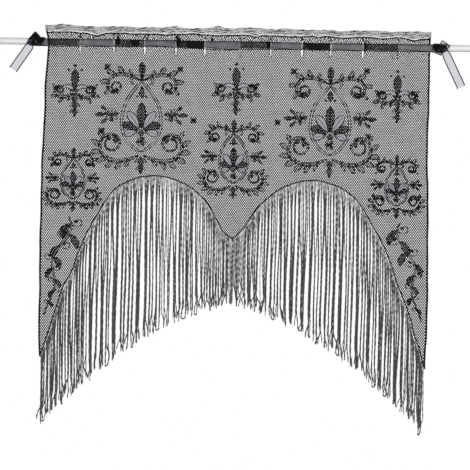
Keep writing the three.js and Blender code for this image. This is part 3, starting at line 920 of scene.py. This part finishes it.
def build_ornament():
    for x, z, scale in MEDALLIONS:
        medallion(Pen((x, z), scale))
    for centre in SPRAYS:
        spray(Pen(centre))
    for centre in FLORETS:
        floret(Pen(centre))
    vine(PANEL.left, -446, -705, 1)
    vine(PANEL.right, -450, -705, -1)
    made = []
    cloths = {"cords": ornament_thread, "dense": dense_stitch, "veil": veil_stitch, "silk": silk_stitch}
    for kind, cloth in cloths.items():
        Pen.batches[kind].drape()
        made.append(Pen.batches[kind].piece("ornament_" + kind, cloth, "lace"))
    return made


# The fringe
def fringe_cut(x):
    off = abs(x - CUT.middle_x)
    bend = CUT.bend_left if x < CUT.middle_x else CUT.bend_right
    return CUT.middle_z - CUT.slope * off - bend * off * off


def sway(x, z):
    """Sideways sway that neighbouring strands share"""
    return wave(z, 1.1, 71, x / 90) + wave(z, 0.3, 33, x / 40 + 1.3)


def crowd_marks():
    """Marks along the lower edge at which strands stand evenly: closer where it is level, and at its point"""
    crowded = 1 + CROWD.at_point * bell(EDGE[1:, 0] - POINT_X, CROWD.reach)
    return marks_along(EDGE * np.array([1, CROWD.steep_share]), crowded)


def edge_place(distance, marks):
    """A point on the lower edge and the direction out of the cloth there"""
    at, near, far = (point_at(EDGE, marks, distance + step) for step in (0, 2, -2))
    return at, right_of(unit(near - far))


def hanging_places(roots, counts, salt):
    """The x at which each strand comes to hang. Strands draw together in clumps, with gaps between these."""
    places = []
    last = len(roots) - 1
    while len(places) < len(roots):
        start = len(places)
        pitch = abs(roots[min(start + 1, last)] - roots[start])
        count = counts[int(len(counts) * scatter(start, salt))]
        count = min(CLUMP.most, round(count * math.sqrt(max(1, CLUMP.usual / max(pitch, 1)))))
        clump = roots[start:start + count]
        tightness = CLUMP.tight if count <= CLUMP.few else CLUMP.loose
        spread = min(1, abs(roots[min(start + count, last)] - clump[0]) / count / CLUMP.full_drift)
        drift = CLUMP.drift * spread * (scatter(start, salt + 2) - 0.5)
        places += (np.mean(clump) + drift + tightness * (clump - np.mean(clump))).tolist()
    return mix(np.array(places), roots, bell(roots - POINT_X, CLUMP.calm))


def drawn(distance, share):
    """How far a strand is drawn aside towards a place at some distance"""
    return np.clip(distance, -GATHER.most, GATHER.most) * smooth(share)


def strand_path(index, root, out, upper, lower):
    """A strand's points from its root down to its cut end, by way of its upper and its lower clump"""
    root_x, root_z = root
    length = root_z - fringe_cut(root_x) - CUT.ragged * (2 * scatter(index, 1) - 1)
    drop = np.linspace(0, 1, max(8, round(length / YARN.step))) * length
    z = root_z - drop
    loose = settled(drop, HANG.loose_reach)
    near_end = smooth(1 - (length - drop) / HANG.end_reach)
    phase = 6.3 * scatter(index, 3)
    crimp = mix(*HANG.crimp, scatter(index, 7))
    swing = 2 * scatter(index, 8) - 1

    x = root_x + out[0] * HANG.start * settled(drop, HANG.start_reach) + loose * sway(root_x, z)
    x = x + drawn(upper - root_x, drop / GATHER.upper_reach)
    x = x + drawn(lower - upper, (drop - GATHER.lower_start) / GATHER.lower_reach)
    x = x + crimp * loose * (wave(z, 1, 4.6, phase) + wave(z, 0.8, 8.3, 2 * phase))
    x = x + loose * wave(z, 0.5, 47, phase)
    fling = HANG.end_swing * swing + HANG.end_fling * swing ** 5
    x = x + fling * near_end * np.sin(near_end * 2.4 + phase)
    y = (index % 3 - 1) * HANG.layer * settled(drop, HANG.layer_reach) + loose * wave(z, 0.8, 19, phase)
    y = y + HANG.end_depth * (scatter(index, 9) - 0.5) * near_end
    return space(x + side_pull(root_x, root_z), y + panel_depth(root_x, root_z), z)


def strand(batch, index, path):
    """A twisted yarn along path that thins at its cut end"""
    fall = marks_along(path)
    turn = fall * 2 * np.pi / mix(*YARN.twist, scatter(index, 17))
    turn = turn + wave(fall, 1, 29, index) + 6.3 * scatter(index, 4)
    swell = mix(*YARN.swell, scatter(index, 10)) * (1 + wave(fall, 0.04, 9, index))
    swell[-1] *= YARN.cut_end
    up = space(np.cos(turn), np.sin(turn), 0)
    batch.tube(path, YARN.half_width * swell, YARN.half_depth * swell, YARN.sides, up)


def loop(batch, start, stop):
    """A yarn that was never cut: it turns back up into its neighbour"""
    reach = (start - stop) / 2
    if 2 * np.linalg.norm(reach) > LOOP.widest:
        return
    turn = np.linspace(0, np.pi, 9)[:, None]
    hang = np.array([0, 0, np.linalg.norm(reach) * LOOP.hang])
    path = (start + stop) / 2 + reach * np.cos(turn) - hang * np.sin(turn)
    batch.tube(path, YARN.half_width, YARN.half_depth, YARN.sides, near_front(0.01, 0.02))


def build_fringe():
    marks = crowd_marks()
    middle = marks[np.argmin(np.abs(EDGE[:, 0] - POINT_X))]
    pieces = []
    for side, (begin, stop) in enumerate(((0, middle), (middle, marks[-1]))):
        batch = Batch()
        pitch = (stop - begin) / YARN.per_arch
        places = [edge_place(begin + (k + 0.5) * pitch, marks) for k in range(YARN.per_arch)]
        if side == 0:
            places.append(edge_place(middle, marks))
        roots = np.array([at[0] for at, _ in places])
        upper = hanging_places(roots, CLUMP.upper, 11 + side)
        lower = hanging_places(roots, CLUMP.lower, 21 + side)
        ends = []
        for k, (at, out) in enumerate(places):
            index = side * YARN.per_arch + k
            path = strand_path(index, at + out * HEADBAND.offset, out, upper[k], lower[k])
            strand(batch, index, path)
            ends.append(path[-1])
        for k in range(LOOP.first, YARN.per_arch - 1, LOOP.every):
            loop(batch, ends[k], ends[k + 1])
        pieces.append(batch.piece("fringe_" + ("left", "right")[side], fringe_yarn, "fringe_yarn"))
    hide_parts("fringe")
    return pieces


def build_heading():
    batch = Batch()
    marks = marks_along(EDGE)
    stops = np.arange(HEADBAND.end, marks[-1] - HEADBAND.end, HEADBAND.step)
    line = np.array([at + out * HEADBAND.offset for at, out in (edge_place(stop, marks) for stop in stops)])
    batch.tube(raised(line), HEADBAND.half_width, HEADBAND.half_depth, HEADBAND.sides)
    batch.drape()
    return batch.piece("fringe_heading", edge_thread, "fringe_yarn")


# The ribbon: one or two layers of organza round the rod's front, and a knot, two ears and a tail at each end
def band_place(x, across, layer):
    """The ribbon lies on the rod's upper front and hangs straight down from the rod's axis"""
    radius = ROD.radius + GAP + RIBBON.first_layer + RIBBON.layer_step * layer + wave(x, 0.25, 37, 2 * layer)
    over = RIBBON.over_rod + wave(x, 0.5, 60, layer)
    foot = over - RIBBON.width - humps(x, RIBBON_DIPS)
    along = mix(foot, over - humps(x, RIBBON_SINKS), (across + 1) / 2)
    angle = np.maximum(along, 0) / radius
    return space(x, -radius * np.cos(angle), radius * np.sin(angle) + np.minimum(along, 0))


def strip(batch, edges, place, steps, thread, end=False):
    """A ribbon surface placed by along and across, with a thread on both long edges and, if asked, its end"""
    across = np.linspace(-1, 1, RIBBON.rows)
    grid = place(*np.broadcast_arrays(np.linspace(0, 1, steps)[None, :], across[:, None]))
    batch.grid(grid)
    for line in (grid[0], grid[-1], grid[:, -1])[:3 if end else 2]:
        edges.tube(line, thread, THREAD.depth, THREAD.sides, near_front(0.01, 0.01))


def build_band():
    band, doubled, folds, edges = Batch(), Batch(), Batch(), Batch()
    start, stop = KNOTS[0].x, KNOTS[1].x

    def full_length(along, across):
        return band_place(mix(start, stop, along), across, 0)

    strip(band, edges, full_length, 260, THREAD.band)
    seams = [start, PANEL.left + PULL.at_rod, *SLIT_GAPES, stop]
    for index, (left, right) in enumerate(zip(seams, seams[1:])):
        if index in SINGLE_STRETCHES:
            continue

        def stretch(along, across):
            lifted = across + RIBBON.skew * (1 - along) * (1 - across) / 2
            return band_place(mix(left + 1.6, right - 1.6, along), lifted, 1)

        strip(doubled, edges, stretch, 24, THREAD.stretch)
    share = np.linspace(0, 1, 24)[None, :]
    across = np.linspace(-1, 1, 11)[:, None]
    for fold in RIBBON_FOLDS:
        inset = fold.foot_inset * (1 - across) / 2
        x = mix(fold.left + inset, fold.right - 0.3 * inset, share)
        place = band_place(x, mix(fold.foot, fold.top, (across + 1) / 2), 2.2)
        place[..., 1] += wave(x, 0.3, 9, across * 8)
        folds.grid(place)
    return [
        band.piece("ribbon_band", band_organza, "ribbon"),
        doubled.piece("ribbon_double", doubled_organza, "ribbon"),
        edges.piece("ribbon_edges", gathered_organza, "ribbon"),
        folds.piece("ribbon_folds", gathered_organza, "ribbon"),
    ]


def knot_wraps(batch, knot, side):
    """Gathered turns of ribbon round the rod"""
    angle = np.linspace(0, 2 * np.pi, 49)
    across = np.linspace(-1, 1, 13)[:, None]
    for turn, (offset, skew) in enumerate(KNOT_TURNS):
        gather = WRAP.gather * np.sin(5 * np.pi * across + angle * 2 + turn)
        radius = ROD.radius + GAP + WRAP.lift + WRAP.crown * (1 - across ** 2) ** 0.5 + gather
        x = knot.x + side * offset + across * WRAP.half_width + skew * np.sin(angle + turn)
        batch.grid(space(x, -radius * np.cos(angle), radius * np.sin(angle)))


def knot_lump(batch, knot, side):
    """The knot's cross turn on the front, a pinched bundle of folds"""
    share = np.linspace(0, 1, 30)[:, None]
    turn = np.linspace(0, 2 * np.pi, 33)
    fullness = np.sin(np.pi * share) ** 0.4
    ridge = 1 + 0.1 * np.sin(7 * turn + 5 * share) * fullness
    along = mix(-LUMP.half_length, LUMP.half_length, share)
    tilt = side * LUMP.tilt
    wide = LUMP.half_width * fullness * ridge * np.sin(turn)
    deep = LUMP.half_depth * fullness * ridge * np.cos(turn)
    x = knot.x + side * LUMP.offset + along * math.cos(tilt) - wide * math.sin(tilt)
    z = knot.sink + along * math.sin(tilt) * 0.6 + wide * math.cos(tilt)
    batch.grid(space(x, RIBBON_FACE - LUMP.proud - deep, z))


def ear_surface(corners, depth):
    """A short end of ribbon, from its corners in turn, the first and the last of them at the knot"""
    first, high, out, last = (np.array(corner, float) for corner in corners)

    def place(along, across):
        share = (across[..., None] + 1) / 2
        flat = mix(mix(first, last, share), mix(high, out, share), along[..., None])
        y = RIBBON_FACE - depth - 0.7 * np.sin(along * 3) + 0.5 * np.sin(across * 4)
        return space(flat[..., 0], y, flat[..., 1])

    return place


def tail_surface(knot, side):
    """The ribbon's free end, which widens from the knot, drops back and sways down to its cut end"""
    start = np.array([knot.x + side * 10, knot.sink])
    down = np.array(knot.tail, float) - start
    sideways = right_of(unit(down)) * -RIBBON.width / 2

    def place(along, across):
        narrow = mix(0.6, 1, smooth(along * 5))
        flat = start + down * along[..., None] + sideways * (across * narrow)[..., None]
        y = RIBBON_FACE - 4 + 6 * along ** 1.5 + 1.2 * np.sin(along * 5) + 0.8 * across * across
        y = y + 1.3 * (1 - smooth(along * 4)) * np.cos(across * 9)
        return space(flat[..., 0], y, flat[..., 1])

    return place


# Each knot's two ears: name, how far it stands before the knot, and its cloth
EARS = {
    "left": (("upper", 0.6, knotted_organza_painted_highlights), ("lower", 2.4, doubled_organza)),
    "right": (("upper", 0.6, band_organza), ("lower", 2.4, doubled_organza)),
}


def build_knots():
    pieces = []
    for knot in KNOTS:
        side = math.copysign(1, knot.x)
        bundle, tail, edges = Batch(), Batch(), Batch()
        knot_wraps(bundle, knot, side)
        knot_lump(bundle, knot, side)
        pieces.append(bundle.piece("ribbon_knot_" + knot.side, knotted_organza_painted_highlights, "ribbon"))
        for (name, depth, cloth), corners in zip(EARS[knot.side], knot.ears):
            ear = Batch()
            strip(ear, edges, ear_surface(corners, depth), 12, THREAD.ear, end=True)
            pieces.append(ear.piece("ribbon_ear_" + name + "_" + knot.side, cloth, "ribbon"))
        strip(tail, edges, tail_surface(knot, side), 30, THREAD.tail)
        pieces.append(tail.piece("ribbon_tail_" + knot.side, organza, "ribbon"))
        pieces.append(edges.piece("ribbon_knot_edges_" + knot.side, gathered_organza, "ribbon"))
    return pieces


# The rod, with softened ends
def build_rod():
    batch = Batch()
    half = ROD.length / 2
    x = np.array([-half, *np.linspace(-half + ROD.chamfer, half - ROD.chamfer, 40), half])
    radius = np.full(len(x), ROD.radius)
    radius[[0, -1]] = ROD.radius - ROD.chamfer
    batch.tube(space(x, 0, 0), radius, radius, ROD.sides)
    rod = batch.piece("rod_tube", rod_paint, "rod")
    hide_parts("rod")
    return rod


# The room, the lights and the camera
def build_floor():
    bpy.ops.mesh.primitive_plane_add(size=FLOOR.size * MM, location=(0, 0, FLOOR.height * MM))
    floor = bpy.context.object
    floor.name = "floor"
    floor.data.materials.append(pale_floor)


def build_world():
    """White to the eye. Its light is weaker above and below, so that round things keep their shading"""
    shader = Shader("studio", "worlds")
    height = shader.add("SeparateXYZ", {0: shader.coordinates["Generated"]}).outputs["Z"]
    steep = shader.maths("ABSOLUTE", height)
    light = shader.between(steep, WORLD_LIGHT.level, WORLD_LIGHT.upright, interpolation_type="SMOOTHSTEP")
    seen = shader.add("LightPath").outputs["Is Camera Ray"]
    strength = shader.between(seen, light, 1.0)
    background = shader.add("Background", {"Color": (1, 1, 1, 1), "Strength": strength})
    shader.add("OutputWorld", {"Surface": background.outputs[0]})
    bpy.context.scene.world = shader.made


def build_lamps():
    for name, (place, power) in LAMPS.items():
        light = bpy.data.lights.new(name, "AREA")
        light.size = LAMP.size
        light.energy = power
        made = bpy.data.objects.new(name, light)
        bpy.context.scene.collection.objects.link(made)
        made.location = place
        made.rotation_euler = (Vector(LAMP.aim) - Vector(place)).to_track_quat("-Z", "Y").to_euler()


def build_camera():
    camera = bpy.data.cameras.new("camera")
    camera.sensor_width = VIEW.sensor
    camera.lens = VIEW.sensor * VIEW.distance / VIEW.frame_width
    made = bpy.data.objects.new("camera", camera)
    bpy.context.scene.collection.objects.link(made)
    made.location = (VIEW.centre_x * MM, -VIEW.distance * MM, VIEW.centre_z * MM)
    upright = Matrix.Rotation(math.radians(90), 4, "X")
    made.rotation_euler = (upright @ Matrix.Rotation(math.radians(VIEW.roll), 4, "Z")).to_euler()
    bpy.context.scene.camera = made


build_camera()
build_world()
build_lamps()
bpy.context.scene.view_settings.view_transform = "Standard"
# The net's holes are two pixels wide in the picture, and the denoiser would wipe them out
bpy.context.scene.cycles.use_denoising = False
build_floor()

net = build_net()
hem = build_hem()
pleats = build_pleats()
edges = build_edges()
ornament = build_ornament()
fringe = build_fringe()
heading = build_heading()
band = build_band()
knots = build_knots()
rod = build_rod()
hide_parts("ribbon")
